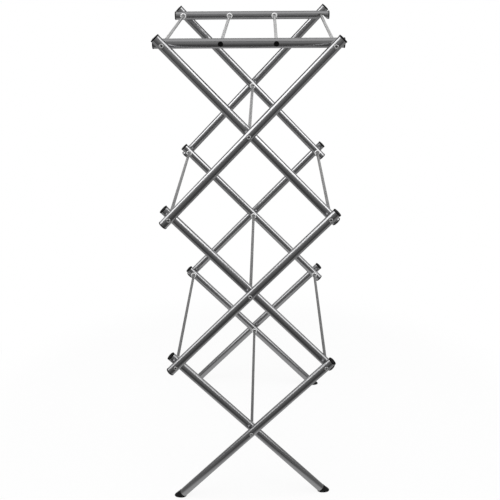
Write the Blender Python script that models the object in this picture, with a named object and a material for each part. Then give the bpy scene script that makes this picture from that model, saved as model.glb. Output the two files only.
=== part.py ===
# Three-tier folding clothes airer. Two scissor frames of round tube stand at the front and the rear,
# eleven cross rods join them, and a rack of two rails lies on the top pivots.
# Metres, +Z up, +X to the right, the front at -Y, and the origin on the floor below the centre.
import bmesh
import bpy
from math import asin, atan2, cos, hypot, pi, radians, sin
from mathutils import Matrix, Vector

# The stance of the open frame
PIVOT_SPAN = 0.375            # between the left and right pivots of a tier
TIER_RISE = 0.3925            # from one tier's side pivots to the next tier's
LOWEST_CROSSING = 0.2015      # height of the legs' crossing above the floor
FRAME_DEPTH = 0.612           # over the outermost tubes of the front and rear frames

# Tubes
TUBE_DIAMETER = 0.022
TUBE_WALL = 0.0008
LAYER_GAP = 0.002             # between tubes that cross
ARM_OVERHANG = 0.020          # tube past the pivot at its end
RAIL_OVERHANG = 0.0205
FOOT_LIFT = 0.001             # lowest corner of a leg's tube above the floor

# Cross rods, which are tubes themselves with their ends rolled over as rivet heads
ROD_DIAMETER = 0.0075
ROD_WALL = 0.0012
RIVET_DIAMETER = 0.0104
RIVET_THICKNESS = 0.0012
WASHER_DIAMETER = 0.0155
WASHER_THICKNESS = 0.0025
COLLAR_DIAMETER = 0.012
RACK_ROD_SPACING = 0.122      # between the two rods that the rails alone carry

# Spacer sleeves, end caps, plugs and feet
SLEEVE_DIAMETER = 0.014
CAP_LIP = 0.0003              # cap flange past the tube's surface
CAP_FLANGE = 0.0025
CAP_CROWN = 0.0008
CAP_SHANK = 0.010
RAIL_CAP_SHANK = 0.005        # short, to stay clear of the hook notch
PLUG_DIAMETER = 0.0118
PLUG_THICKNESS = 0.0008
PLUG_CROWN = 0.0005
FOOT_LIP = 0.0004             # foot past the tube's surface at its top
FOOT_FLARE = 0.0019           # extra radius of the foot at the floor
FOOT_ROUNDING = 0.006
FOOT_SHANK = 0.012

# Clearances
SEAT_GAP = 0.0003             # between faces that rest on each other
FIT_GAP = 0.0004              # around a shank in a tube's bore
RUNNING_GAP = 0.0003          # around a rod in its hole
NOTCH_SLACK = 0.003           # room left of the rod in the hook notch
OVERRUN = 0.002               # cutters past what they cut

# Facets of the round pieces
TUBE_SIDES = 20
ROD_SIDES = 10
HOLE_SIDES = 10
CAP_SIDES = 16
ARC_STEPS = 4

SMOOTH_ANGLE = radians(40)
MERGE_DISTANCE = 1e-7

# Worked out from the sizes above
TUBE_RADIUS = TUBE_DIAMETER / 2
BORE_RADIUS = TUBE_RADIUS - TUBE_WALL
ROD_RADIUS = ROD_DIAMETER / 2
HOLE_RADIUS = (ROD_RADIUS + RUNNING_GAP) / cos(pi / HOLE_SIDES)
SHANK_RADIUS = BORE_RADIUS * cos(pi / TUBE_SIDES) - FIT_GAP
ARM_LENGTH = hypot(PIVOT_SPAN, TIER_RISE)
ARM_ANGLE = atan2(TIER_RISE, PIVOT_SPAN)
SIDE = PIVOT_SPAN / 2
HALF_RISE = TIER_RISE / 2
LEG_REACH = (LOWEST_CROSSING - FOOT_LIFT - TUBE_RADIUS * cos(ARM_ANGLE)) / sin(ARM_ANGLE)
FRONT, REAR = -1, 1
FRAMES = {"front": FRONT, "rear": REAR}
TIERS = ("lower", "middle", "upper")
LEANS = {"outer": 1, "inner": -1}      # outer arms rise to the right, inner arms to the left
LAYERS = ("outer", "inner", "rail")    # of tubes, counted from the outside inwards

# Pivots as (x, z), named by where they are
CROSSINGS = {tier: (0, LOWEST_CROSSING + step * TIER_RISE) for step, tier in enumerate(TIERS)}
PIVOTS = {
    "foot_crossing": CROSSINGS["lower"],
    "lower_left": (-SIDE, LOWEST_CROSSING + HALF_RISE),
    "lower_right": (SIDE, LOWEST_CROSSING + HALF_RISE),
    "middle_crossing": CROSSINGS["middle"],
    "upper_left": (-SIDE, LOWEST_CROSSING + TIER_RISE + HALF_RISE),
    "upper_right": (SIDE, LOWEST_CROSSING + TIER_RISE + HALF_RISE),
    "upper_crossing": CROSSINGS["upper"],
    "top_left": (-SIDE, CROSSINGS["upper"][1] + HALF_RISE),
    "top_right": (SIDE, CROSSINGS["upper"][1] + HALF_RISE),
    "rack_left": (-RACK_ROD_SPACING / 2, CROSSINGS["upper"][1] + HALF_RISE),
    "rack_right": (RACK_ROD_SPACING / 2, CROSSINGS["upper"][1] + HALF_RISE),
}
TOP_HEIGHT = PIVOTS["top_left"][1]

# The pieces that move together, each with the pivot that it turns on
BODY_PIVOTS = {
    "base": "foot_crossing",
    "lower_outer": "foot_crossing",
    "lower_inner": "foot_crossing",
    "middle_outer": "lower_left",
    "middle_inner": "lower_right",
    "upper_outer": "upper_left",
    "upper_inner": "upper_right",
    "top_rack": "top_left",
}


def layer_centre(layer):
    """Distance of a layer's tube axes from the middle plane."""
    return FRAME_DEPTH / 2 - TUBE_RADIUS - LAYERS.index(layer) * (TUBE_DIAMETER + LAYER_GAP)


def outer_face(layer):
    return layer_centre(layer) + TUBE_RADIUS


def inner_face(layer):
    return layer_centre(layer) - TUBE_RADIUS


def clear_scene():
    for obj in list(bpy.data.objects):
        bpy.data.objects.remove(obj, do_unlink=True)


def make_material(name, colour, roughness, metallic):
    material = bpy.data.materials.new(name)
    material.use_nodes = True
    shader = material.node_tree.nodes["Principled BSDF"]
    shader.inputs["Base Color"].default_value = (*colour, 1)
    shader.inputs["Roughness"].default_value = roughness
    shader.inputs["Metallic"].default_value = metallic
    material.diffuse_color = (*colour, 1)
    return material


def make_empties():
    """One empty on each body's pivot, for its pieces to hang on."""
    empties = {}
    for body, pivot in BODY_PIVOTS.items():
        empty = bpy.data.objects.new(body + "_pivot", None)
        x, z = PIVOTS[pivot]
        empty.location = (x, 0, z)
        empty.empty_display_size = TUBE_DIAMETER
        bpy.context.scene.collection.objects.link(empty)
        empties[body] = empty
    return empties


def add_object(name, bm, material, place, body):
    """Makes the mesh an object, turned and placed by a matrix, on its body's empty."""
    mesh = bpy.data.meshes.new(name)
    bm.to_mesh(mesh)
    bm.free()
    if material:
        mesh.materials.append(material)
    mesh.shade_smooth()
    mesh.set_sharp_from_angle(angle=SMOOTH_ANGLE)
    obj = bpy.data.objects.new(name, mesh)
    bpy.context.scene.collection.objects.link(obj)
    obj.parent = body
    obj.matrix_basis = Matrix.Translation(-body.location) @ place
    return obj


def add_cut(obj, bm, place, body):
    """Cuts a hidden cutter out of the object."""
    cutter = add_object(obj.name + "_cutter", bm, None, place, body)
    cutter.hide_render = True
    cutter.display_type = "WIRE"
    modifier = obj.modifiers.new("cut", "BOOLEAN")
    modifier.operation = "DIFFERENCE"
    modifier.object = cutter


def turned(profile, sides, closed=False):
    """A profile of (radius, height) points turned about Z."""
    bm = bmesh.new()
    verts = [bm.verts.new((radius, 0, height)) for radius, height in profile]
    ends = zip(verts, verts[1:] + verts[:1]) if closed else zip(verts, verts[1:])
    edges = [bm.edges.new(pair) for pair in ends]
    bmesh.ops.spin(
        bm, geom=verts + edges, cent=(0, 0, 0), axis=(0, 0, 1), angle=2 * pi, steps=sides, use_merge=True
    )
    bmesh.ops.remove_doubles(bm, verts=bm.verts, dist=MERGE_DISTANCE)
    bmesh.ops.recalc_face_normals(bm, faces=bm.faces)
    return bm


def along(direction, origin):
    """Turns a piece made along Z to a direction in the plane of the frame, and places it."""
    lean = atan2(direction[0], direction[1])
    return Matrix.Translation(origin) @ Matrix.Rotation(lean, 4, "Y")


def across(side, origin):
    """Turns a piece made along Z to point out of the front or the rear frame."""
    return Matrix.Translation(origin) @ Matrix.Rotation(-side * pi / 2, 4, "X")


def tube(low, high):
    rims = [(BORE_RADIUS, low), (TUBE_RADIUS, low), (TUBE_RADIUS, high), (BORE_RADIUS, high)]
    return turned(rims, TUBE_SIDES, closed=True)


def cross_holes(heights):
    """Round cutters through a tube that runs along Z."""
    bm = bmesh.new()
    for height in heights:
        bmesh.ops.create_cone(
            bm,
            cap_ends=True,
            segments=HOLE_SIDES,
            radius1=HOLE_RADIUS,
            radius2=HOLE_RADIUS,
            depth=TUBE_DIAMETER + 2 * OVERRUN,
            matrix=Matrix.Translation((0, 0, height)) @ Matrix.Rotation(pi / 2, 4, "X"),
        )
    return bm


def end_cap(shank_length):
    """A plug for an open tube end: shank below zero, flange and low crown above it."""
    flange_radius = TUBE_RADIUS + CAP_LIP
    profile = [
        (0, -shank_length),
        (SHANK_RADIUS, -shank_length),
        (SHANK_RADIUS, SEAT_GAP),
        (flange_radius, SEAT_GAP),
        (flange_radius, SEAT_GAP + CAP_FLANGE),
        (0, SEAT_GAP + CAP_FLANGE + CAP_CROWN),
    ]
    return turned(profile, CAP_SIDES)


def add_arm(frame, tier, lean, materials, empties):
    """One arm or leg of a scissor, with its caps or its foot."""
    side = FRAMES[frame]
    kind = "leg" if tier == "lower" else "arm"
    body = empties[f"{tier}_{lean}"]
    name = f"{frame}_{tier}_{lean}_{kind}"
    direction = (LEANS[lean] * cos(ARM_ANGLE), sin(ARM_ANGLE))
    x, z = CROSSINGS[tier]
    origin = Vector((x, side * layer_centre(lean), z))
    place = along(direction, origin)
    half = ARM_LENGTH / 2
    high = half + ARM_OVERHANG
    low = -LEG_REACH if tier == "lower" else -high
    heights = (0, half) if tier == "lower" else (-half, 0, half)
    arm = add_object(name, tube(low, high), materials["tube"], place, body)
    add_cut(arm, cross_holes(heights), place, body)
    top = place @ Matrix.Translation((0, 0, high))
    add_object(f"{name}_top_cap", end_cap(CAP_SHANK), materials["cap"], top, body)
    bottom = place @ Matrix.Translation((0, 0, low)) @ Matrix.Rotation(pi, 4, "X")
    if tier == "lower":
        hand = "left" if lean == "outer" else "right"
        end = bottom.to_translation()
        downward = Vector((-direction[0], 0, -direction[1]))
        add_object(f"{frame}_{hand}_foot", foot_mesh(end, downward), materials["rubber"], Matrix(), body)
    else:
        add_object(f"{name}_bottom_cap", end_cap(CAP_SHANK), materials["cap"], bottom, body)


def foot_mesh(end, downward):
    """A rubber foot round the end of a leg: square to the tube on top, flat and rounded at the floor."""
    across_leg = Vector((0, 1, 0)).cross(downward)
    top_centre = end + downward * SEAT_GAP
    top_radius = TUBE_RADIUS + FOOT_LIP
    floor_radius = top_radius + FOOT_FLARE
    to_floor = -top_centre.z / downward.z
    floor_centre = top_centre + downward * to_floor
    rings = {"sole": [], "edge": [], "wall": [], "top": [], "shoulder": [], "shank": []}
    for step in range(CAP_SIDES):
        angle = 2 * pi * step / CAP_SIDES
        outward = Vector((0, cos(angle), 0)) + across_leg * sin(angle)
        top = top_centre + outward * top_radius
        flared = top_centre + outward * floor_radius
        corner = flared - downward * (flared.z / downward.z)
        rise = top - corner
        inset = floor_centre - corner
        wall = corner + rise * min(1 / 2, FOOT_ROUNDING / rise.length)
        sole = corner + inset * min(1 / 2, FOOT_ROUNDING / inset.length)
        rings["sole"].append(sole)
        rings["edge"].append((wall + corner * 2 + sole) / 4)
        rings["wall"].append(wall)
        rings["top"].append(top)
        rings["shoulder"].append(top_centre + outward * SHANK_RADIUS)
        rings["shank"].append(top_centre + outward * SHANK_RADIUS - downward * FOOT_SHANK)
    bm = bmesh.new()
    loops = [[bm.verts.new(point) for point in ring] for ring in rings.values()]
    for below, above in zip(loops, loops[1:]):
        for step in range(CAP_SIDES):
            after = (step + 1) % CAP_SIDES
            bm.faces.new((below[step], below[after], above[after], above[step]))
    bm.faces.new(loops[0])
    bm.faces.new(loops[-1])
    bmesh.ops.recalc_face_normals(bm, faces=bm.faces)
    return bm


def rod_half(out_layer, in_layer, riveted, washer):
    """Outer outline of one half of a rod, from its end to its middle, as (radius, distance) points."""
    outline = []
    if riveted:
        seat = outer_face(out_layer) + SEAT_GAP
        outline += [
            (RIVET_DIAMETER / 2, seat + RIVET_THICKNESS),
            (RIVET_DIAMETER / 2, seat),
            (ROD_RADIUS, seat),
        ]
        crossed = LAYERS[LAYERS.index(out_layer):LAYERS.index(in_layer) + 1]
        for above, below in zip(crossed, crossed[1:]):
            high = inner_face(above) - SEAT_GAP
            low = outer_face(below) + SEAT_GAP
            outline += disc(COLLAR_DIAMETER / 2, high, low)
    else:
        outline.append((ROD_RADIUS, outer_face(out_layer) - TUBE_WALL - 2 * SEAT_GAP))
    if washer:
        high = inner_face(in_layer) - SEAT_GAP
        outline += disc(WASHER_DIAMETER / 2, high, high - WASHER_THICKNESS)
    return outline


def disc(radius, high, low):
    """A collar on a rod's outline."""
    return [(ROD_RADIUS, high), (radius, high), (radius, low), (ROD_RADIUS, low)]


def add_rod(name, pivot, layers, riveted, washer, material, body):
    half = rod_half(*layers, riveted, washer)
    other = [(radius, -distance) for radius, distance in reversed(half)]
    bore = ROD_RADIUS - ROD_WALL
    end = half[0][1]
    profile = [(bore, end), *half, *other, (bore, -end)]
    x, z = PIVOTS[pivot]
    add_object(name, turned(profile, ROD_SIDES, closed=True), material, across(REAR, (x, 0, z)), body)


def add_sleeve(frame, material, body):
    """Fills the layer that no tube takes at the top right pivot."""
    x, z = PIVOTS["top_right"]
    low = outer_face("rail") + SEAT_GAP
    high = inner_face("outer") - SEAT_GAP
    rims = [
        (HOLE_RADIUS, low),
        (SLEEVE_DIAMETER / 2, low),
        (SLEEVE_DIAMETER / 2, high),
        (HOLE_RADIUS, high),
    ]
    place = across(FRAMES[frame], (x, 0, z))
    add_object(f"{frame}_top_right_sleeve", turned(rims, ROD_SIDES, closed=True), material, place, body)


def notch_mesh():
    """The hook's cutter, round the origin: a round roof, a plumb left wall and a sloping right wall.

    The frame folds with the rails still on the inner arms, and the rod then leaves down the slope.
    """
    radius = HOLE_RADIUS
    depth = TUBE_RADIUS + OVERRUN
    width = TUBE_DIAMETER + 2 * OVERRUN
    outline = []
    for step in range(ARC_STEPS + 1):
        angle = ARM_ANGLE + (pi / 2 - ARM_ANGLE) * step / ARC_STEPS
        outline.append((radius * cos(angle), radius * sin(angle)))
    for step in range(ARC_STEPS + 1):
        angle = pi / 2 + pi / 2 * step / ARC_STEPS
        outline.append((radius * cos(angle) - NOTCH_SLACK, radius * sin(angle)))
    outline.append((-radius - NOTCH_SLACK, -depth))
    slide = (depth + radius * sin(ARM_ANGLE)) / cos(ARM_ANGLE)
    outline.append((radius * cos(ARM_ANGLE) + slide * sin(ARM_ANGLE), -depth))
    bm = bmesh.new()
    face = bm.faces.new([bm.verts.new((x, -width / 2, z)) for x, z in outline])
    walls = bmesh.ops.extrude_face_region(bm, geom=[face])
    moved = [item for item in walls["geom"] if isinstance(item, bmesh.types.BMVert)]
    bmesh.ops.translate(bm, verts=moved, vec=(0, width, 0))
    bmesh.ops.recalc_face_normals(bm, faces=bm.faces)
    return bm


def add_rail(frame, materials, body):
    """A rail of the top rack, with its caps and plugs."""
    side = FRAMES[frame]
    centre = side * layer_centre("rail")
    place = along((1, 0), (0, centre, TOP_HEIGHT))
    high = SIDE + RAIL_OVERHANG
    rail = add_object(f"{frame}_rail", tube(-high, high), materials["tube"], place, body)
    heights = (-SIDE, PIVOTS["rack_left"][0], PIVOTS["rack_right"][0])
    add_cut(rail, cross_holes(heights), place, body)
    hook = Matrix.Translation((SIDE, centre, TOP_HEIGHT))
    add_cut(rail, notch_mesh(), hook, body)
    right = place @ Matrix.Translation((0, 0, high))
    left = place @ Matrix.Translation((0, 0, -high)) @ Matrix.Rotation(pi, 4, "X")
    for hand, end in (("left", left), ("right", right)):
        add_object(f"{frame}_rail_{hand}_cap", end_cap(RAIL_CAP_SHANK), materials["cap"], end, body)
        x = PIVOTS[f"rack_{hand}"][0]
        spot = across(side, (x, centre, TOP_HEIGHT))
        plug = add_object(f"{frame}_rail_{hand}_plug", plug_mesh(), materials["cap"], spot, body)
        add_cut(plug, saddle_mesh(), spot, body)


def plug_mesh():
    """A round button over a hole in a rail, made along Z with the rail's axis at zero."""
    radius = PLUG_DIAMETER / 2
    edge = TUBE_RADIUS * cos(asin(radius / TUBE_RADIUS))
    brim = TUBE_RADIUS + SEAT_GAP + PLUG_THICKNESS
    profile = [(0, edge), (radius, edge), (radius, brim), (0, brim + PLUG_CROWN)]
    return turned(profile, CAP_SIDES)


def saddle_mesh():
    """What the rail takes out of the back of a plug: a round bar along X."""
    bm = bmesh.new()
    bmesh.ops.create_cone(
        bm,
        cap_ends=True,
        segments=2 * TUBE_SIDES,
        radius1=TUBE_RADIUS + SEAT_GAP,
        radius2=TUBE_RADIUS + SEAT_GAP,
        depth=PLUG_DIAMETER + 2 * OVERRUN,
        matrix=Matrix.Rotation(pi / 2, 4, "Y"),
    )
    return bm


def build():
    clear_scene()
    materials = {
        "tube": make_material("polished_tube", (0.55, 0.55, 0.56), 0.22, 1),
        "rod": make_material("grey_lacquer", (0.14, 0.14, 0.14), 0.2, 0),
        "cap": make_material("black_plastic", (0.012, 0.012, 0.013), 0.4, 0),
        "rubber": make_material("black_rubber", (0.01, 0.01, 0.01), 0.7, 0),
        "sleeve": make_material("grey_nylon", (0.5, 0.5, 0.5), 0.5, 0),
    }
    empties = make_empties()
    for frame in FRAMES:
        for tier in TIERS:
            for lean in LEANS:
                add_arm(frame, tier, lean, materials, empties)
        add_rail(frame, materials, empties["top_rack"])
        add_sleeve(frame, materials["sleeve"], empties["upper_outer"])
    arms = ("outer", "inner")
    rods = (
        ("foot_crossing", arms, True, True, "base"),
        ("lower_left", arms, True, True, "middle_outer"),
        ("lower_right", arms, True, True, "lower_outer"),
        ("middle_crossing", arms, True, True, "middle_outer"),
        ("upper_left", arms, True, True, "upper_outer"),
        ("upper_right", arms, True, True, "middle_outer"),
        ("upper_crossing", arms, True, True, "upper_outer"),
        ("top_left", ("inner", "rail"), True, True, "upper_inner"),
        ("top_right", ("outer", "outer"), True, False, "upper_outer"),
        ("rack_left", ("rail", "rail"), False, True, "top_rack"),
        ("rack_right", ("rail", "rail"), False, True, "top_rack"),
    )
    for pivot, layers, riveted, washer, body in rods:
        add_rod(f"{pivot}_rod", pivot, layers, riveted, washer, materials["rod"], empties[body])


build()
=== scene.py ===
# The look of a three-tier folding clothes airer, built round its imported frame.
# Metres, +Z up, +X to the right, the front frame at -Y, the floor at zero.
import bmesh
import bpy
from math import atan2, ceil, cos, hypot, pi, radians, sin
from mathutils import Matrix, Vector


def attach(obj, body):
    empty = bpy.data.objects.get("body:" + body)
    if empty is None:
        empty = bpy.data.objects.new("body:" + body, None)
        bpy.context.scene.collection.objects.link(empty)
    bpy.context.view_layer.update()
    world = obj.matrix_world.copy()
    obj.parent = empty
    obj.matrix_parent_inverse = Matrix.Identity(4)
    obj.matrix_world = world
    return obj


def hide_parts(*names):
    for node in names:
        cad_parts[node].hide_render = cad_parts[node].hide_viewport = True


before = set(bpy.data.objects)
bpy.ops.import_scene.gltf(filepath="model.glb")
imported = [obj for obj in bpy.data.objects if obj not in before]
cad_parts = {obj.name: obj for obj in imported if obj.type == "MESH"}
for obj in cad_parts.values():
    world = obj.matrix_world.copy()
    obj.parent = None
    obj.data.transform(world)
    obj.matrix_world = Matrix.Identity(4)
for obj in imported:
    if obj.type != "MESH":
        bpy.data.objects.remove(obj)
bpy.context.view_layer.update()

# The stance, as the CAD has it
stance = {
    "pivotSpan": 0.375,        # between the left and right pivots of a tier
    "tierRise": 0.3925,
    "lowestCrossing": 0.2015,
    "tubeRadius": 0.011,
    "layers": {"outer": 0.295, "inner": 0.271, "rail": 0.247},  # tube axes from the middle plane
}
sides = {"front": -1, "rear": 1}
tiers = ("lower", "middle", "upper")
leans = {"outer": 1, "inner": -1}      # outer arms rise to the right, inner arms to the left
tubeRadius = stance["tubeRadius"]
halfSpan = stance["pivotSpan"] / 2
halfRise = stance["tierRise"] / 2
halfArm = hypot(halfSpan, halfRise)
armAngle = atan2(halfRise, halfSpan)
footCrossing = stance["lowestCrossing"]
crossings = {tier: footCrossing + step * stance["tierRise"] for step, tier in enumerate(tiers)}
topHeight = crossings["upper"] + halfRise


def outerFace(layer):
    return stance["layers"][layer] + tubeRadius


def innerFace(layer):
    return stance["layers"][layer] - tubeRadius


def capital(*words):
    # joins words into one camelCase name
    return words[0] + "".join(word[0].upper() + word[1:] for word in words[1:])


def smooth(low, high, value):
    share = min(1, max(0, (value - low) / (high - low)))
    return share * share * (3 - 2 * share)


class Wire:
    # a socket in a Python expression: each operator adds its Math node
    def __init__(self, finish, socket):
        self.finish = finish
        self.socket = socket

    def combine(self, operation, first, second):
        return self.finish.node("Math", {"operation": operation}, {0: first, 1: second})

    def __add__(self, other):
        return self.combine("ADD", self, other)

    def __radd__(self, other):
        return self.combine("ADD", other, self)

    def __sub__(self, other):
        return self.combine("SUBTRACT", self, other)

    def __rsub__(self, other):
        return self.combine("SUBTRACT", other, self)

    def __mul__(self, other):
        return self.combine("MULTIPLY", self, other)

    def __rmul__(self, other):
        return self.combine("MULTIPLY", other, self)

    def __abs__(self):
        return self.finish.node("Math", {"operation": "ABSOLUTE"}, {0: self})


class Finish:
    # the node tree of a material or the world, with short ways to its usual nodes
    def __init__(self, name, owner=None):
        self.owner = owner or bpy.data.materials.new(name)
        self.owner.use_nodes = True
        self.nodes = self.owner.node_tree.nodes
        self.links = self.owner.node_tree.links

    def feed(self, socket, value):
        if isinstance(value, Wire):
            self.links.new(value.socket, socket)
        else:
            socket.default_value = value

    def node(self, kind, settings=None, sockets=None, output=0):
        new = self.nodes.new("ShaderNode" + kind)
        for name, value in (settings or {}).items():
            setattr(new, name, value)
        for key, value in (sockets or {}).items():
            self.feed(new.inputs[key], value)
        return Wire(self, new.outputs[output])

    def shade(self, sockets):
        for key, value in sockets.items():
            self.feed(self.nodes["Principled BSDF"].inputs[key], value)

    def mark(self, name, output="Fac"):
        return self.node("Attribute", {"attribute_name": name}, output=output)

    def stretch(self, place, factors):
        return self.node("VectorMath", {"operation": "MULTIPLY"}, {0: place, 1: factors})

    def noise(self, place, scale, detail, roughness=0.5):
        values = {"Vector": place, "Scale": scale, "Detail": detail, "Roughness": roughness}
        return self.node("TexNoise", {}, values)

    def levels(self, value, low, high, toLow=0, toHigh=1):
        values = {"Value": value, "From Min": low, "From Max": high, "To Min": toLow, "To Max": toHigh}
        return self.node("MapRange", {"interpolation_type": "SMOOTHSTEP"}, values)

    def colour(self, share, first, second):
        tones = [tone if isinstance(tone, Wire) else (*tone, 1) for tone in (first, second)]
        settings = {"data_type": "RGBA", "clamp_factor": True}
        return self.node("Mix", settings, {0: share, 6: tones[0], 7: tones[1]}, output=2)

    def bump(self, height, distance):
        return self.node("Bump", {}, {"Height": height, "Distance": distance, "Strength": 1.0})


tubeLook = {
    "light": (0.565, 0.565, 0.57),
    "dark": (0.49, 0.49, 0.5),
    "rubbed": (0.33, 0.325, 0.32),
    "rubbedShare": 0.75,      # how far the grime hides the metal's own colour
    "roughness": 0.19,
    "relief": 0.000008,
    "drawnLines": 1500,       # scales of the patterns
    "waves": 130,
    "clouds": 9,
    "prints": 38,
    "specks": 900,
    "swirls": 2600,
}


def polishedTube():
    # plated steel: drawn lines along the tube, faint waves, finger marks, dull where pieces rub
    finish = Finish("polishedTube")
    place = finish.mark("madeAt", "Vector")
    rub = finish.mark("rub")
    drawn = finish.noise(finish.stretch(place, (1, 1, 0.012)), tubeLook["drawnLines"], 3)
    waves = finish.noise(finish.stretch(place, (1, 1, 0.25)), tubeLook["waves"], 1)
    cloud = finish.noise(place, tubeLook["clouds"], 2)
    prints = finish.levels(finish.noise(place, tubeLook["prints"], 5, 0.62), 0.52, 0.7)
    specks = finish.levels(finish.noise(place, tubeLook["specks"], 2), 0.7, 0.76)
    swirl = finish.noise(finish.stretch(place, (1, 0.2, 1)), tubeLook["swirls"], 2)
    base = finish.colour(cloud, tubeLook["light"], tubeLook["dark"])
    grime = finish.levels(rub * (0.55 + swirl * 0.9), 0.35, 0.9)
    base = finish.colour(grime * tubeLook["rubbedShare"], base, tubeLook["rubbed"])
    rough = tubeLook["roughness"] + drawn * 0.04 + prints * 0.02 + grime * 0.1 + specks * 0.03
    height = drawn * 0.3 + waves * 0.3 + specks * 0.1 + rub * swirl * 0.4
    finish.shade({
        "Metallic": 1.0,
        "Base Color": base,
        "Roughness": rough,
        "Normal": finish.bump(height, tubeLook["relief"]),
    })
    return finish.owner


rodLook = {
    "light": (0.155, 0.155, 0.155),
    "dark": (0.125, 0.125, 0.125),
    # darker where laundry wears it, and painted shade next to the washers
    "worn": (0.11, 0.109, 0.107),
    "wornShare": 0.6,
    "roughness": 0.16,
    "relief": 0.000006,
    "drawnLines": 2600,            # scales of the patterns
    "clouds": 60,
    "grain": 2400,
    "head": (0.68, 0.68, 0.68),    # rolled bright by the riveting
    "headRoughness": 0.27,
    "headMetallic": 0.8,
}


def satinRod():
    # grey lacquer over a drawn tube: faint clouds, darker where laundry slides, painted shade next to
    # the washers, bright rolled heads
    finish = Finish("satinRod")
    place = finish.mark("madeAt", "Vector")
    mark = finish.mark("rub")
    rub = finish.levels(mark, 0, 1)
    head = finish.levels(mark, 1.2, 1.8)
    drawn = finish.noise(finish.stretch(place, (1, 1, 0.01)), rodLook["drawnLines"], 3)
    cloud = finish.noise(finish.stretch(place, (1, 1, 0.3)), rodLook["clouds"], 4, 0.6)
    grain = finish.noise(place, rodLook["grain"], 2)
    base = finish.colour(finish.levels(cloud, 0.3, 0.7), rodLook["light"], rodLook["dark"])
    # laundry wears the rod's middle; painted shade darkens it next to the washers
    base = finish.colour(rub * rodLook["wornShare"], base, rodLook["worn"])
    base = finish.colour(head, base, rodLook["head"])
    rough = rodLook["roughness"] + drawn * 0.05 + cloud * 0.03 + rub * 0.06
    rough = rough + head * (rodLook["headRoughness"] - rough)
    finish.shade({
        "Metallic": head * rodLook["headMetallic"],
        "Base Color": base,
        "Roughness": rough,
        "Normal": finish.bump(drawn * 0.4 + grain * 0.3, rodLook["relief"]),
    })
    return finish.owner


plasticLooks = {
    "cap": {
        "name": "blackPlastic",
        "light": (0.003, 0.003, 0.0032),
        "dark": (0.0045, 0.0045, 0.0048),
        "scuffed": (0.012, 0.012, 0.0125),
        "roughness": 0.46,
        "grain": 0.00003,
        "shine": 0.12,
    },
    "sleeve": {
        "name": "greyNylon",
        "light": (0.3, 0.3, 0.3),
        "dark": (0.25, 0.25, 0.25),
        "scuffed": (0.4, 0.4, 0.4),
        "roughness": 0.4,
        "grain": 0.00002,
        "shine": 0.5,
    },
    "washer": {
        "name": "paleNylon",
        "light": (0.88, 0.88, 0.88),
        "dark": (0.84, 0.84, 0.84),
        "scuffed": (0.3, 0.3, 0.295),     # grey painted shade for the washer's recess
        "roughness": 0.34,
        "grain": 0.00002,
        "shine": 0.5,
    },
}


def mouldedPlastic(look):
    # a fine even grain, faint flow clouds, and another tone where it is scuffed; on a washer that tone
    # is painted shade in its recess
    finish = Finish(look["name"])
    place = finish.mark("madeAt", "Vector")
    worn = finish.mark("rub")
    cloud = finish.noise(place, 140, 3)
    fine = finish.noise(place, 3200, 2)
    scuffAndShade = finish.levels(finish.noise(place, 700, 4, 0.7) * (0.35 + worn), 0.42, 0.8)
    base = finish.colour(cloud, look["light"], look["dark"])
    # on a washer this darker tone is painted shade in the recess; on a cap it is scuffing
    base = finish.colour(scuffAndShade, base, look["scuffed"])
    finish.shade({
        "Base Color": base,
        "Roughness": look["roughness"] + cloud * 0.08 + scuffAndShade * 0.15,
        "Specular IOR Level": look["shine"],
        "Normal": finish.bump(fine + scuffAndShade * 0.6, look["grain"]),
    })
    return finish.owner


rubberLook = {
    "light": (0.006, 0.006, 0.0065),
    "dark": (0.01, 0.01, 0.01),
    "dust": (0.035, 0.033, 0.031),
    "dustShare": 0.3,
    "roughness": 0.58,
    "shine": 0.22,
    "grain": 0.00006,
}


def footRubber():
    # matt rubber with grey floor dust that gathers towards the sole
    finish = Finish("footRubber")
    place = finish.mark("madeAt", "Vector")
    low = finish.mark("rub")
    fine = finish.noise(place, 1500, 4, 0.65)
    cloud = finish.noise(place, 180, 3)
    dust = finish.levels(low * (0.4 + cloud), 0.45, 1.0)
    base = finish.colour(cloud, rubberLook["light"], rubberLook["dark"])
    base = finish.colour(dust * rubberLook["dustShare"], base, rubberLook["dust"])
    finish.shade({
        "Base Color": base,
        "Roughness": rubberLook["roughness"] + fine * 0.12 + dust * 0.15,
        "Specular IOR Level": rubberLook["shine"],
        "Normal": finish.bump(fine, rubberLook["grain"]),
    })
    return finish.owner


finishes = {"tube": polishedTube(), "rod": satinRod()}
for slot, look in plasticLooks.items():
    finishes[slot] = mouldedPlastic(look)
finishes["foot"] = footRubber()
print("finishes made:", ", ".join(sorted(finishes)))


making = {
    "sharpAngle": radians(38),
    "steps": 40,              # round the small turned pieces
    "wideSteps": 96,          # round the large circles
    "shift": 0.731,           # between the patterns of one piece and the next
    "merge": 1e-6,
}
made = []


def settle(piece):
    # makes the modifiers' result the piece's own mesh
    old = piece.data
    graph = bpy.context.evaluated_depsgraph_get()
    piece.data = bpy.data.meshes.new_from_object(piece.evaluated_get(graph))
    piece.modifiers.clear()
    bpy.data.meshes.remove(old)
    piece.data.name = piece.name


def stamp(mesh, rub):
    # keeps where each point was made, for the patterns, and how far it is rubbed, which on washers and
    # rods also marks painted shade
    points = [vertex.co.copy() for vertex in mesh.vertices]
    shift = Vector((0, 0, len(made) * making["shift"]))
    madeAt = mesh.attributes.new("madeAt", "FLOAT_VECTOR", "POINT")
    madeAt.data.foreach_set("vector", [part for point in points for part in point + shift])
    rubbed = mesh.attributes.new("rub", "FLOAT", "POINT")
    rubbed.data.foreach_set("value", [rub(point) for point in points])


def newObject(name, bm):
    mesh = bpy.data.meshes.new(name)
    bm.to_mesh(mesh)
    bm.free()
    thing = bpy.data.objects.new(name, mesh)
    bpy.context.scene.collection.objects.link(thing)
    return thing


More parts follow.
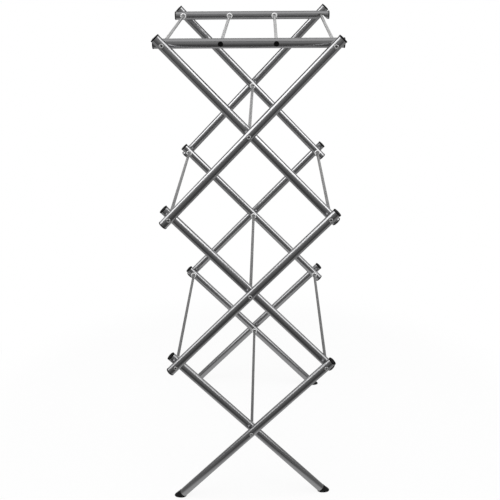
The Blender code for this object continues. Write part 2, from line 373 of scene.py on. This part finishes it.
def addPiece(name, bm, slot, place, body, nodes, rub=lambda point: 0.0, modify=None):
    # a piece made about the origin, then turned into place on its body
    piece = newObject(name, bm)
    if modify:
        helpers = modify(piece)
        settle(piece)
        for helper in helpers:
            bpy.data.objects.remove(helper, do_unlink=True)
    mesh = piece.data
    stamp(mesh, rub)
    mesh.transform(place)
    mesh.materials.clear()
    mesh.materials.append(finishes[slot])
    mesh.shade_smooth()
    mesh.set_sharp_from_angle(angle=making["sharpAngle"])
    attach(piece, body)
    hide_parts(*nodes)
    made.append(piece)


def rimEdges(bm, radius, height):
    # the edges of a turned piece that run round at one radius and height
    spot = Vector((radius, height))

    def near(vert):
        return (Vector((vert.co.xy.length, vert.co.z)) - spot).length < making["merge"]

    return [edge for edge in bm.edges if all(near(vert) for vert in edge.verts)]


def turned(profile, closed=False, segments=3):
    # spins corners given as (radius, height, rounding) about Z, then rounds their rims
    bm = bmesh.new()
    corners = [bm.verts.new((radius, 0, height)) for radius, height, rounding in profile]
    after = corners[1:] + corners[:1] if closed else corners[1:]
    edges = [bm.edges.new(pair) for pair in zip(corners, after)]
    bmesh.ops.spin(
        bm, geom=corners + edges, cent=(0, 0, 0), axis=(0, 0, 1), angle=2 * pi,
        steps=making["steps"], use_merge=True,
    )
    bmesh.ops.remove_doubles(bm, verts=bm.verts, dist=making["merge"])
    bmesh.ops.recalc_face_normals(bm, faces=bm.faces)
    for radius, height, rounding in profile:
        if rounding:
            bmesh.ops.bevel(
                bm, geom=rimEdges(bm, radius, height), offset=rounding, offset_type="OFFSET",
                segments=segments, profile=0.5, affect="EDGES", clamp_overlap=True, material=-1,
            )
    return bm


def drawOut(bm, faces, by):
    # extrudes flat faces into a solid bar
    grown = bmesh.ops.extrude_face_region(bm, geom=faces)["geom"]
    moved = [item for item in grown if isinstance(item, bmesh.types.BMVert)]
    bmesh.ops.translate(bm, verts=moved, vec=by)


def cutAway(piece, cutter):
    # gives a piece the hollow of a cutter, which goes once the piece is settled
    cut = piece.modifiers.new("cut", "BOOLEAN")
    cut.operation = "DIFFERENCE"
    cut.object = cutter
    return [cutter]


def leaning(angle, origin):
    # turns a piece made along Z to lean in the plane of a frame
    return Matrix.Translation(origin) @ Matrix.Rotation(angle, 4, "Y")


def pointingOut(sign, origin):
    # turns a piece made along Z to point out of the front or the rear frame
    return Matrix.Translation(origin) @ Matrix.Rotation(-sign * pi / 2, 4, "X")


tubeShape = {
    "wall": 0.0008,
    "overhang": 0.020,        # past the pivot at an end
    "footLift": 0.001,        # lowest corner of a leg's tube above the floor
    "columns": 64,
    "holeSteps": 4,           # of the grid, from a rivet's axis to the edge of its hole
    "patchSteps": 8,          # and to where the grid is square again
    "press": 0.0002,          # the flat that riveting presses under a head or a washer
    "pressFull": 0.0045,
    "pressNone": 0.008,
    "longest": 0.045,         # of the faces between the rivets
    "endBand": 0.0012,
    "edge": 0.00016,          # rounding of the cut ends and holes
    "edgeAngle": radians(50),
    "rubFull": 0.0045,        # from a rivet's axis
    "rubReach": 0.0105,
    "endRub": 0.6,
    "endFade": 500,           # a metre, from an end inwards
}


def ringHeights(low, high, rivets, pitch):
    # close rings round the rivets, wide ones between them
    reach = tubeShape["patchSteps"]
    marks = {low, low + tubeShape["endBand"], high - tubeShape["endBand"], high}
    for rivet in rivets:
        marks |= {rivet + step * pitch for step in range(-reach, reach + 1)}
    marks = sorted(marks)
    heights = marks[:1]
    for mark in marks[1:]:
        start = heights[-1]
        parts = ceil((mark - start) / tubeShape["longest"])
        heights += [start + (mark - start) * part / parts for part in range(1, parts + 1)]
    return heights


def offRivet(column, height, rivets, pitch):
    # grid steps from the rivet axis close by, and where that axis comes out of the tube
    columns = tubeShape["columns"]
    for rivet in rivets:
        for middle in (columns // 4, columns * 3 // 4):
            i, j = column - middle, round((height - rivet) / pitch)
            if max(abs(i), abs(j)) <= tubeShape["patchSteps"]:
                return i, j, middle, rivet
    return None


def rolledGrid(columns, rows, spot):
    # a grid rolled up about Z: spot gives the place of each column and row
    bm = bmesh.new()
    bmesh.ops.create_grid(bm, x_segments=columns, y_segments=rows, size=1)
    for vert in bm.verts:
        column = round((vert.co.x + 1) / 2 * columns)
        row = round((vert.co.y + 1) / 2 * rows)
        vert.co = spot(column, row, vert)
    return bm


def tubeSkin(low, high, rivets, pressed):
    # the squares of the grid are drawn into a circle round each rivet hole, and each pressed rivet's
    # flat is on the face that its sign gives
    columns = tubeShape["columns"]
    pitch = 2 * pi * tubeRadius / columns
    hole, reach = tubeShape["holeSteps"], tubeShape["patchSteps"]
    heights = ringHeights(low, high, rivets, pitch)
    inHole = set()

    def spot(column, row, vert):
        height = heights[row]
        near = offRivet(column, height, rivets, pitch)
        if near:
            i, j, middle, rivet = near
            ring = max(abs(i), abs(j))
            if ring <= hole:
                inHole.add(vert)
            share = min(1, (reach - ring) / (reach - hole))
            pull = 1 + share * (ring / hypot(i, j) - 1) if ring else 1
            column = middle + i * pull
            height = rivet + j * pull * pitch
        angle = 2 * pi * column / columns
        return tubeRadius * cos(angle), tubeRadius * sin(angle), height

    bm = rolledGrid(columns, len(heights) - 1, spot)
    inside = [face for face in bm.faces if all(vert in inHole for vert in face.verts)]
    bmesh.ops.delete(bm, geom=inside, context="FACES")
    bmesh.ops.remove_doubles(bm, verts=bm.verts, dist=making["merge"])
    flat = tubeRadius - tubeShape["press"]
    for vert in bm.verts:
        for rivet, face in pressed.items():
            off = hypot(vert.co.x, vert.co.z - rivet)
            depth = 1 - smooth(tubeShape["pressFull"], tubeShape["pressNone"], off)
            proud = face * vert.co.y - flat
            if depth and proud > 0:
                vert.co.y -= face * proud * depth
    return bm


def tubeRub(low, high, rivets):
    # how rubbed a tube is: round its rivets, and at its cut ends
    def rub(point):
        around = min(hypot(point.x, point.z - rivet) for rivet in rivets)
        inwards = min(point.z - low, high - point.z)
        atRivet = 1 - smooth(tubeShape["rubFull"], tubeShape["rubReach"], around)
        return max(atRivet, tubeShape["endRub"] - tubeShape["endFade"] * inwards)
    return rub


def giveWall(piece, cutter=None):
    wall = piece.modifiers.new("wall", "SOLIDIFY")
    wall.thickness = tubeShape["wall"]
    wall.offset = -1
    wall.use_even_offset = True
    helpers = cutAway(piece, cutter) if cutter else []
    edge = piece.modifiers.new("edge", "BEVEL")
    edge.width = tubeShape["edge"]
    edge.segments = 2
    edge.limit_method = "ANGLE"
    edge.angle_limit = tubeShape["edgeAngle"]
    return helpers


capShape = {
    "seat": 0.0003,           # gap under the flange
    "lip": 0.0003,            # flange past the tube's surface
    "flange": 0.0025,
    "crown": 0.0008,
    "shank": 0.010,
    "railShank": 0.005,
    "fit": 0.0004,
    "sink": 0.0026,           # radius of the moulding mark in the middle
    "sinkDepth": 0.0003,
    "scuffedFrom": 0.0085,    # radius
    "scuffedUp": 0.0012,      # height over the tube's end
}
shankRadius = tubeRadius - tubeShape["wall"] - capShape["fit"]


def endCap(shank):
    rim = tubeRadius + capShape["lip"]
    seat = capShape["seat"]
    brim = seat + capShape["flange"]
    crown, sink = capShape["crown"], capShape["sink"]
    return turned([
        (0, -shank, 0),
        (shankRadius, -shank, 0.0009),
        (shankRadius, seat, 0),
        (rim, seat, 0.00025),
        (rim, brim, 0.0008),
        (0.0086, brim + 0.45 * crown, 0),
        (0.0058, brim + 0.8 * crown, 0),
        (sink + 0.0005, brim + crown, 0.0002),
        (sink, brim + crown - capShape["sinkDepth"], 0.0001),
        (0, brim + crown - capShape["sinkDepth"], 0),
    ])


def capRub(point):
    # scuffed round the rim of the flange
    out = smooth(capShape["scuffedFrom"], 0.0114, hypot(point.x, point.y))
    return out * smooth(0.0002, capShape["scuffedUp"], point.z)


footShape = {
    "columns": 48,
    "lip": 0.0006,            # past the tube's surface, over the first of the wall
    "lipLength": 0.0016,
    "neck": 0.0002,           # past it again below the lip
    "flare": 0.0019,
    "shank": 0.012,
    "rounding": 0.006,
    "roundSteps": 6,
    "recess": 0.0010,         # of the sole, inside its treading rim
    "tread": 0.62,
    "dustTop": 0.008,
}


def footOutline(column, downLocal, toFloor):
    # one side of a foot, from the top of its shank to the middle of its sole, with Z down the leg
    angle = 2 * pi * column / footShape["columns"]
    outward = Vector((cos(angle), sin(angle), 0))
    top = tubeRadius + footShape["lip"]
    neck = tubeRadius + footShape["neck"]

    def onWall(radius, depth):
        return outward * radius + Vector((0, 0, depth))

    flared = tubeRadius + footShape["flare"]
    floorCentre = Vector((0, 0, toFloor))
    slope = outward.dot(downLocal)
    corner = onWall(flared, toFloor - flared * slope / downLocal.z)
    start = onWall(top, 0)
    lip = min(footShape["lipLength"], 0.35 * (corner - start).length)
    wallTop = onWall(neck, lip * 1.25)
    rise = wallTop - corner
    inset = floorCentre - corner
    wall = corner + rise * min(0.5, footShape["rounding"] / rise.length)
    sole = corner + inset * min(0.5, footShape["rounding"] / inset.length)
    points = [
        onWall(shankRadius - 0.0006, -footShape["shank"]),
        onWall(shankRadius, -footShape["shank"] + 0.0008),
        onWall(shankRadius, 0),
        onWall(top - 0.0003, 0),
        onWall(top, 0.0003 * min(1, lip / 0.001)),
        onWall(top, lip * 0.75),
        onWall(top - 0.0002, lip),
        wallTop,
    ]
    steps = footShape["roundSteps"]
    for step in range(steps + 1):
        t = step / steps
        points.append(wall * (1 - t) ** 2 + corner * 2 * t * (1 - t) + sole * t * t)
    tread = floorCentre + (sole - floorCentre) * footShape["tread"]
    up = -downLocal * footShape["recess"]
    spread = tread - floorCentre
    points += [tread, floorCentre + spread * 0.9 + up, floorCentre + spread * 0.2 + up]
    return points


def footSkin(downLocal, toFloor):
    outlines = [footOutline(column, downLocal, toFloor) for column in range(footShape["columns"] + 1)]
    rows = len(outlines[0]) - 1
    bm = rolledGrid(footShape["columns"], rows, lambda column, row, vert: outlines[column][row])
    bmesh.ops.remove_doubles(bm, verts=bm.verts, dist=making["merge"])
    rims = [edge for edge in bm.edges if edge.is_boundary]
    bmesh.ops.holes_fill(bm, edges=rims, sides=0)
    bmesh.ops.recalc_face_normals(bm, faces=bm.faces)
    return bm


def addFoot(frameName, lean, origin, direction, reach, nodes):
    hand = "Left" if lean == "outer" else "Right"
    downward = Vector((-direction[0], 0, -direction[1]))
    top = origin + downward * (reach + capShape["seat"])
    place = leaning(atan2(downward.x, downward.z), top)
    downLocal = place.to_3x3().inverted() @ Vector((0, 0, -1))
    toFloor = -top.z / downward.z

    def dust(point):
        return 1 - smooth(0.001, footShape["dustTop"], (place @ point).z)

    bm = footSkin(downLocal, toFloor)
    addPiece(frameName + hand + "Foot", bm, "foot", place, f"lower_{lean}", nodes, dust)


def addArm(frameName, tier, lean):
    kind = "leg" if tier == "lower" else "arm"
    body = f"{tier}_{lean}"
    node = f"{frameName}_{tier}_{lean}_{kind}"
    name = capital(frameName, tier, lean, kind)
    direction = (leans[lean] * cos(armAngle), sin(armAngle))
    origin = Vector((0, sides[frameName] * stance["layers"][lean], crossings[tier]))
    place = leaning(atan2(*direction), origin)
    high = halfArm + tubeShape["overhang"]
    low = -high
    rivets = (-halfArm, 0, halfArm)
    if tier == "lower":
        clear = footCrossing - tubeShape["footLift"] - tubeRadius * cos(armAngle)
        low = -clear / sin(armAngle)
        rivets = rivets[1:]
    outward = sides[frameName]
    pressed = {rivet: leans[lean] * outward for rivet in rivets}
    if body == "upper_inner":
        pressed[halfArm] = outward
    skin = tubeSkin(low, high, rivets, pressed)
    addPiece(name, skin, "tube", place, body, [node], tubeRub(low, high, rivets), giveWall)

    def close(end, z, turn):
        at = place @ Matrix.Translation((0, 0, z)) @ Matrix.Rotation(turn, 4, "X")
        cap = endCap(capShape["shank"])
        addPiece(capital(name, end, "cap"), cap, "cap", at, body, [f"{node}_{end}_cap"], capRub)

    close("top", high, 0)
    if tier == "lower":
        hand = "left" if lean == "outer" else "right"
        addFoot(frameName, lean, origin, direction, -low, [f"{frameName}_{hand}_foot"])
    else:
        close("bottom", low, pi)


for frameName in sides:
    for tier in tiers:
        for lean in leans:
            addArm(frameName, tier, lean)
print("arms, legs, caps and feet:", len(made), "pieces so far")


railShape = {
    "overhang": 0.0205,
    "rodSpacing": 0.122,
    "holeRadius": 0.0042583,
    "notchSlack": 0.003,      # room left of the rod in the hook notch
    "overrun": 0.002,
    "arcSteps": 12,
}
rackRodX = railShape["rodSpacing"] / 2
railEnd = halfSpan + railShape["overhang"]


def notchCutter():
    # the hook's opening: round above, plumb on the left, and sloped on the right as the rod leaves
    radius, slack = railShape["holeRadius"], railShape["notchSlack"]
    depth = tubeRadius + railShape["overrun"]
    steps = railShape["arcSteps"]
    outline = []
    for step in range(steps + 1):
        angle = armAngle + (pi / 2 - armAngle) * step / steps
        outline.append((radius * cos(angle), radius * sin(angle)))
    for step in range(steps + 1):
        angle = pi / 2 * (1 + step / steps)
        outline.append((radius * cos(angle) - slack, radius * sin(angle)))
    slide = (depth + radius * sin(armAngle)) / cos(armAngle)
    outline.append((-radius - slack, -depth))
    outline.append((radius * cos(armAngle) + slide * sin(armAngle), -depth))
    bm = bmesh.new()
    face = bm.faces.new([bm.verts.new((-z, -2 * depth, halfSpan + x)) for x, z in outline])
    drawOut(bm, [face], (0, 4 * depth, 0))
    bmesh.ops.recalc_face_normals(bm, faces=bm.faces)
    return newObject("notchCutter", bm)


plugShape = {
    "radius": 0.0059,
    "seat": 0.0003,           # gap over the rail's surface
    "proud": 0.0011,
    "crown": 0.0005,
    "sink": 0.0016,
    "skirt": 0.0025,          # how far it reaches down the rail's side
    "cutLength": 0.04,        # of the bar that hollows it
}


def railBar():
    # what the underside of a plug is hollowed to
    radius, length = tubeRadius + plugShape["seat"], plugShape["cutLength"]
    bm = bmesh.new()
    bmesh.ops.create_circle(bm, cap_ends=True, segments=making["wideSteps"], radius=radius)
    drawOut(bm, bm.faces[:], (0, 0, length))
    turn = Matrix.Rotation(pi / 2, 4, "Y") @ Matrix.Translation((0, 0, -length / 2))
    bmesh.ops.transform(bm, matrix=turn, verts=bm.verts)
    bmesh.ops.recalc_face_normals(bm, faces=bm.faces)
    return newObject("railBar", bm)


def hollowUnder(piece):
    return cutAway(piece, railBar())


def railPlug():
    # a round button, Z out of the rail from its axis
    radius, crown, sink = plugShape["radius"], plugShape["crown"], plugShape["sink"]
    foot, brim = tubeRadius - plugShape["skirt"], tubeRadius + plugShape["proud"]
    return turned([
        (0, foot, 0),
        (radius, foot, 0),
        (radius, brim, 0.0007),
        (0.0038, brim + 0.7 * crown, 0),
        (sink + 0.0004, brim + crown, 0.0002),
        (sink, brim + crown - 0.0002, 0.0001),
        (0, brim + crown - 0.0002, 0),
    ])


def addRail(frameName):
    side = sides[frameName]
    origin = Vector((0, side * stance["layers"]["rail"], topHeight))
    place = leaning(pi / 2, origin)
    rivets = (-halfSpan, -rackRodX, rackRodX)
    node = frameName + "_rail"
    name = frameName + "Rail"
    skin = tubeSkin(-railEnd, railEnd, rivets, {-halfSpan: -side})
    rub = tubeRub(-railEnd, railEnd, (-halfSpan, halfSpan))
    addPiece(
        name, skin, "tube", place, "top_rack", [node], rub, lambda piece: giveWall(piece, notchCutter())
    )
    for hand, x, turn in (("left", -railEnd, pi), ("right", railEnd, 0)):
        end = place @ Matrix.Translation((0, 0, x)) @ Matrix.Rotation(turn, 4, "X")
        bm = endCap(capShape["railShank"])
        addPiece(capital(name, hand, "cap"), bm, "cap", end, "top_rack", [f"{node}_{hand}_cap"], capRub)
        rodX = rackRodX if hand == "right" else -rackRodX
        spot = pointingOut(side, origin + Vector((rodX, 0, 0)))
        addPiece(
            capital(name, hand, "plug"), railPlug(), "cap", spot, "top_rack", [f"{node}_{hand}_plug"],
            modify=hollowUnder,
        )


for frameName in sides:
    addRail(frameName)
print("rails, their caps and plugs:", len(made), "pieces so far")


rodShape = {
    "radius": 0.00375,
    "bore": 0.00255,          # open, inside a rail
    "mouth": 0.0019,          # of the dimple that rolling leaves in a head
    "dimple": 0.0035,
    "headRadius": 0.0052,
    "headCrown": 0.0017,      # of its rolled rim, over the flat of the tube
    "headSteps": 8,
    "seated": 0.00005,        # sunk into the flat
    "rackEnd": 0.0014,        # from a rail's outer face to the end of a rack rod
    "endRound": 0.0003,
    "plainEnd": 0.01,         # from the end to the first ring of the plain length
    "ring": 0.055,            # most between two rings
    "hangFrom": 0.23,         # laundry dulls it from here inwards
    "hangFull": 0.1,
    "hangRub": 0.5,
    "washerRub": 0.02,        # how far the painted shade next to its washers reaches
}
washerShape = {
    "bore": 0.0039,
    "radius": 0.00775,
    "thickness": 0.0028,
    "round": 0.0011,
    "lip": 0.0049,            # inner radius of the raised rim
    "web": 0.0009,            # thickness inside it
}
spacerShape = {"bore": 0.004, "radius": 0.006, "gap": 0.00005, "round": 0.0002}
sleeveShape = {"bore": 0.0041, "radius": 0.007, "gap": 0.0003, "round": 0.0006}
left, right = -halfSpan, halfSpan
lowSide = crossings["lower"] + halfRise
highSide = crossings["middle"] + halfRise
# across and up, then the tubes' layers from outside in, and the body that carries the rod
pivots = {
    "foot_crossing": (0, crossings["lower"], "outer", "inner", "base"),
    "lower_left": (left, lowSide, "outer", "inner", "middle_outer"),
    "lower_right": (right, lowSide, "outer", "inner", "lower_outer"),
    "middle_crossing": (0, crossings["middle"], "outer", "inner", "middle_outer"),
    "upper_left": (left, highSide, "outer", "inner", "upper_outer"),
    "upper_right": (right, highSide, "outer", "inner", "middle_outer"),
    "upper_crossing": (0, crossings["upper"], "outer", "inner", "upper_outer"),
    "top_left": (left, topHeight, "inner", "rail", "upper_inner"),
    "top_right": (right, topHeight, "outer", "outer", "upper_outer"),
    "rack_left": (-rackRodX, topHeight, "rail", "rail", "top_rack"),
    "rack_right": (rackRodX, topHeight, "rail", "rail", "top_rack"),
}


def rodSkin(end, riveted):
    # a thin tube, open inside a rail, and elsewhere rolled over into rivet heads with a dimple
    radius, head, mouth = rodShape["radius"], rodShape["headRadius"], rodShape["mouth"]
    half = [(rodShape["bore"], end, rodShape["endRound"]), (radius, end, rodShape["endRound"])]
    if riveted:
        middle, width, steps = (mouth + head) / 2, (head - mouth) / 2, rodShape["headSteps"]
        turns = [pi * (1 - step / steps) for step in range(steps + 1)]
        dimple = rodShape["dimple"]
        half = [(0, end - dimple, 0), (0.75 * mouth, end - 0.85 * dimple, rodShape["endRound"])]
        half += [(middle + width * cos(t), end + rodShape["headCrown"] * sin(t), 0) for t in turns]
        half += [(head - 0.0004, end, 0.0001), (radius, end, 0.0001)]
    plain = end - rodShape["plainEnd"]
    ringCount = 2 * ceil(plain / rodShape["ring"])
    wall = [(radius, plain * (1 - 2 * step / ringCount), 0) for step in range(ringCount + 1)]
    other = [(r, -height, rounding) for r, height, rounding in reversed(half)]
    return turned(half + wall + other, closed=not riveted)


def washerRing():
    # its free face points down, so that Z points out of the frame
    shape = washerShape
    return turned([
        (shape["bore"], 0, 0.0002),
        (shape["radius"], 0, 0.0003),
        (shape["radius"], -shape["thickness"], shape["round"]),
        (shape["lip"], -shape["thickness"], 0.0006),
        (shape["lip"] - 0.0002, -shape["web"], 0.0003),
        (shape["bore"], -shape["web"], 0.0001),
    ], closed=True, segments=5)


def shadedRecess(point):
    # painted shade: grey in a washer's recess, where shade falls round the rod
    return 1 - smooth(washerShape["lip"] - 0.0004, washerShape["lip"], hypot(point.x, point.y))


def plainRing(bore, radius, height, rounding):
    return turned([
        (bore, 0, rounding / 2),
        (radius, 0, rounding),
        (radius, height, rounding),
        (bore, height, rounding / 2),
    ], closed=True)


def ringBetween(shape, low, high):
    # a plain ring from one face to another less its gaps, and where it starts
    start = low + shape["gap"]
    return plainRing(shape["bore"], shape["radius"], high - shape["gap"] - start, shape["round"]), start


def addRod(pivot):
    x, z, first, last, body = pivots[pivot]
    riveted = body != "top_rack"
    words = pivot.split("_")
    node = pivot + "_rod"
    press = tubeShape["press"] if riveted else 0
    end = outerFace(first) - (press + rodShape["seated"] if riveted else rodShape["rackEnd"])
    inner = innerFace(last)

    def slidAndShaded(point):
        # dull where laundry hangs, painted shade darkening it towards the washers, and 2 on a rolled
        # head
        height = abs(point.z)
        if riveted and height > end - 0.002:
            return 2
        hung = rodShape["hangRub"] * smooth(rodShape["hangFrom"], rodShape["hangFull"], height)
        # painted shade rising towards the washer
        return max(hung, smooth(inner - rodShape["washerRub"], inner - 0.004, height))

    bm = rodSkin(end, riveted)
    addPiece(capital(*words, "rod"), bm, "rod", pointingOut(1, (x, 0, z)), body, [node], slidAndShaded)
    for frameName, side in sides.items():
        def at(y):
            return pointingOut(side, (x, side * y, z))

        if pivot != "top_right":
            seat = at(inner + press - rodShape["seated"])
            name = capital(*words, frameName, "washer")
            # the washer's recess gets painted shade
            addPiece(name, washerRing(), "washer", seat, body, [node], shadedRecess)
        else:
            bm, start = ringBetween(sleeveShape, outerFace("rail"), innerFace("outer"))
            name = frameName + "TopRightSleeve"
            addPiece(name, bm, "sleeve", at(start), body, [frameName + "_top_right_sleeve"])
        if first != last:
            # the spacers take the black cap plastic: painted shade, black as the shade between the
            # crossing tubes
            bm, start = ringBetween(spacerShape, outerFace(last), innerFace(first))
            addPiece(capital(*words, frameName, "spacer"), bm, "cap", at(start), body, [node])


for pivot in pivots:
    addRod(pivot)
print("cross rods, washers, spacers and sleeves:", len(made), "pieces so far")


# The camera, as fitted to the photograph
view = {
    "place": (0.0385, -2.1071, 1.4656),
    "lens": 60.08,
    "down": 0.39382,
    "yaw": 0.02118,
    "roll": -0.00897,
    "sensor": 36,
}


def addCamera():
    down, yaw, roll = view["down"], view["yaw"], view["roll"]
    ahead = Vector((-sin(yaw) * cos(down), cos(yaw) * cos(down), -sin(down)))
    level = Vector((cos(yaw), sin(yaw), 0))
    above = level.cross(ahead)
    right = level * cos(roll) + above * sin(roll)
    up = above * cos(roll) - level * sin(roll)
    data = bpy.data.cameras.new("camera")
    data.lens = view["lens"]
    data.sensor_width = view["sensor"]
    camera = bpy.data.objects.new("camera", data)
    bpy.context.scene.collection.objects.link(camera)
    turn = Matrix((right, up, -ahead)).transposed().to_4x4()
    camera.matrix_world = Matrix.Translation(view["place"]) @ turn
    bpy.context.scene.camera = camera


addCamera()


studio = {
    "worldLight": 0.36,
    "floorRadius": 1.05,
    "floorColour": (0.9, 0.9, 0.9),
    "floorShown": 0.9,        # how far the floor hides its own shading
    "floorFade": 0.72,        # and from this radius on, all of it
}
room = {
    "radius": 3.0,
    "top": 4.2,
    "lift": 0.0006,                # of its floor over the studio's
    "turn": (0.6, 2.0),            # where the front wall becomes the back wall
    "frontWall": (0.125, 0.27),    # up to knee height and over head height
    "frontRise": (0.4, 2.2),
    "skirting": 0.09,              # more light low on the front wall
    "skirtingTop": 0.4,
    "backWall": (0.5, 1.35, 0.2),  # low down, at chest height and above it
    "backRise": (0.75, 1.15),
    "backFall": (1.6, 1.88),
    "backdropSide": 0.5,           # beside the pale middle of the back wall
    "sideFall": (0.35, 1.1),       # squares of the distance from the middle
    "ceiling": 0.1,
    "floor": (0.26, 0.075),        # below the airer and away from it
    "floorFall": (0.42, 0.76),
    "narrow": 1.8,                 # how much less wide than deep the near floor is
    "rearFloor": 0.21,             # more light on the floor behind and beside the airer
    "rearRise": (-0.45, -0.25),
    "rearSlant": 0.75,
}


def seenRays(finish):
    # 1 for what the camera sees, straight or in a gloss or glass
    path = finish.node("LightPath")
    outputs = path.socket.node.outputs
    camera, glossy, clear = (
        Wire(finish, outputs[name]) for name in ("Is Camera Ray", "Is Glossy Ray", "Is Transmission Ray")
    )
    return finish.node("Math", {"operation": "ADD", "use_clamp": True}, {0: camera + glossy, 1: clear})


def lightWorld():
    world = bpy.data.worlds.new("paleStudio")
    bpy.context.scene.world = world
    finish = Finish("paleStudio", world)
    back = finish.nodes["Background"]
    back.inputs["Color"].default_value = (1, 1, 1, 1)
    level = studio["worldLight"]
    finish.feed(back.inputs["Strength"], level + seenRays(finish) * (1 - level))


def addFloor():
    bm = bmesh.new()
    bmesh.ops.create_circle(
        bm, cap_ends=True, segments=making["wideSteps"], radius=studio["floorRadius"]
    )
    floor = newObject("studioFloor", bm)
    finish = Finish("paleFloor")
    colour = (*studio["floorColour"], 1)
    finish.shade({"Base Color": colour, "Roughness": 0.9, "Specular IOR Level": 0.0})
    place = finish.node("TexCoord", output="Object")
    far = finish.node("VectorMath", {"operation": "LENGTH"}, {0: place}, output="Value")
    edge = studio["floorRadius"] - 0.03
    share = finish.levels(far, studio["floorFade"], edge, studio["floorShown"], 1) * seenRays(finish)
    glow = finish.node("Emission", {}, {"Strength": 1.0})
    out = finish.nodes["Material Output"]
    plain = Wire(finish, finish.nodes["Principled BSDF"].outputs[0])
    finish.feed(out.inputs["Surface"], finish.node("MixShader", {}, {0: share, 1: plain, 2: glow}))
    floor.data.materials.append(finish.owner)


def addRoom():
    # what polished metal mirrors: a dim room before the airer, a paler backdrop behind it
    top, radius = room["top"], room["radius"]
    bm = bmesh.new()
    bmesh.ops.create_cone(
        bm, cap_ends=True, segments=making["wideSteps"], radius1=radius, radius2=radius, depth=top
    )
    bmesh.ops.translate(bm, verts=bm.verts, vec=(0, 0, room["lift"] + top / 2))
    walls = newObject("studioRoom", bm)
    finish = Finish("studioWalls")
    place = finish.node("TexCoord", output="Object")
    narrowed = finish.stretch(place, (room["narrow"], 1, 0))
    away = finish.node("VectorMath", {"operation": "LENGTH"}, {0: narrowed}, output="Value")
    split = finish.node("SeparateXYZ", {}, {0: place}).socket.node.outputs
    across, depth, up = (Wire(finish, split[axis]) for axis in "XYZ")
    front = finish.levels(up, *room["frontRise"], *room["frontWall"])
    front = front + finish.levels(up, 0, room["skirtingTop"], room["skirting"], 0)
    low, middle, high = room["backWall"]
    back = finish.levels(up, *room["backRise"], low, middle)
    back = back + finish.levels(up, *room["backFall"], 0, high - middle)
    back = back * finish.levels(across * across, *room["sideFall"], 1, room["backdropSide"])
    floor = finish.levels(away, *room["floorFall"], *room["floor"])
    behind = depth + abs(across) * room["rearSlant"]
    floor = floor + finish.levels(behind, *room["rearRise"], 0, room["rearFloor"])
    level = front + finish.levels(depth, *room["turn"]) * (back - front)
    level = level + finish.levels(up, top - 0.02, top - 0.01) * (room["ceiling"] - level)
    level = level + finish.levels(up, 0.002, 0.01, 1, 0) * (floor - level)
    glow = finish.node("Emission", {}, {"Strength": level})
    finish.feed(finish.nodes["Material Output"].inputs["Surface"], glow)
    walls.data.materials.append(finish.owner)
    walls.visible_camera = False
    walls.visible_diffuse = False
    walls.visible_transmission = False
    walls.visible_shadow = False


# place, size and watts of each pair of lamps; they aim straight across at the middle
sideLamps = {
    "Softbox": ((2.2, -0.2, 2.65), (1.2, 1.9), 14.5),
    "LowSoftbox": ((2.2, -0.2, 1.32), (1.2, 0.76), 3.6),
    "Wing": ((2.2, -1.3, 2.7), (1.0, 1.2), 7.5),
}


def addLamp(name, place, target, size, power, mirrored=True):
    data = bpy.data.lights.new(name, "AREA")
    data.shape = "RECTANGLE"
    data.size, data.size_y = size
    data.energy = power
    lamp = bpy.data.objects.new(name, data)
    bpy.context.scene.collection.objects.link(lamp)
    lamp.visible_glossy = mirrored
    lamp.location = place
    lamp.rotation_euler = (Vector(target) - Vector(place)).to_track_quat("-Z", "Y").to_euler()


lightWorld()
addFloor()
addRoom()
for name, ((x, y, z), size, power) in sideLamps.items():
    for hand, way in (("left", -1), ("right", 1)):
        addLamp(hand + name, (way * x, y, z), (0, y, z), size, power)
addLamp("overheadSoftbox", (0, 0, 3.0), (0, 0, 0), (3.0, 3.0), 13)
addLamp("topLight", (0, -0.8, 3.2), (0, 0, 0.8), (2.4, 2.4), 44, mirrored=False)
bpy.context.scene.view_settings.view_transform = "Standard"
print("camera, floor, walls and lamps placed")
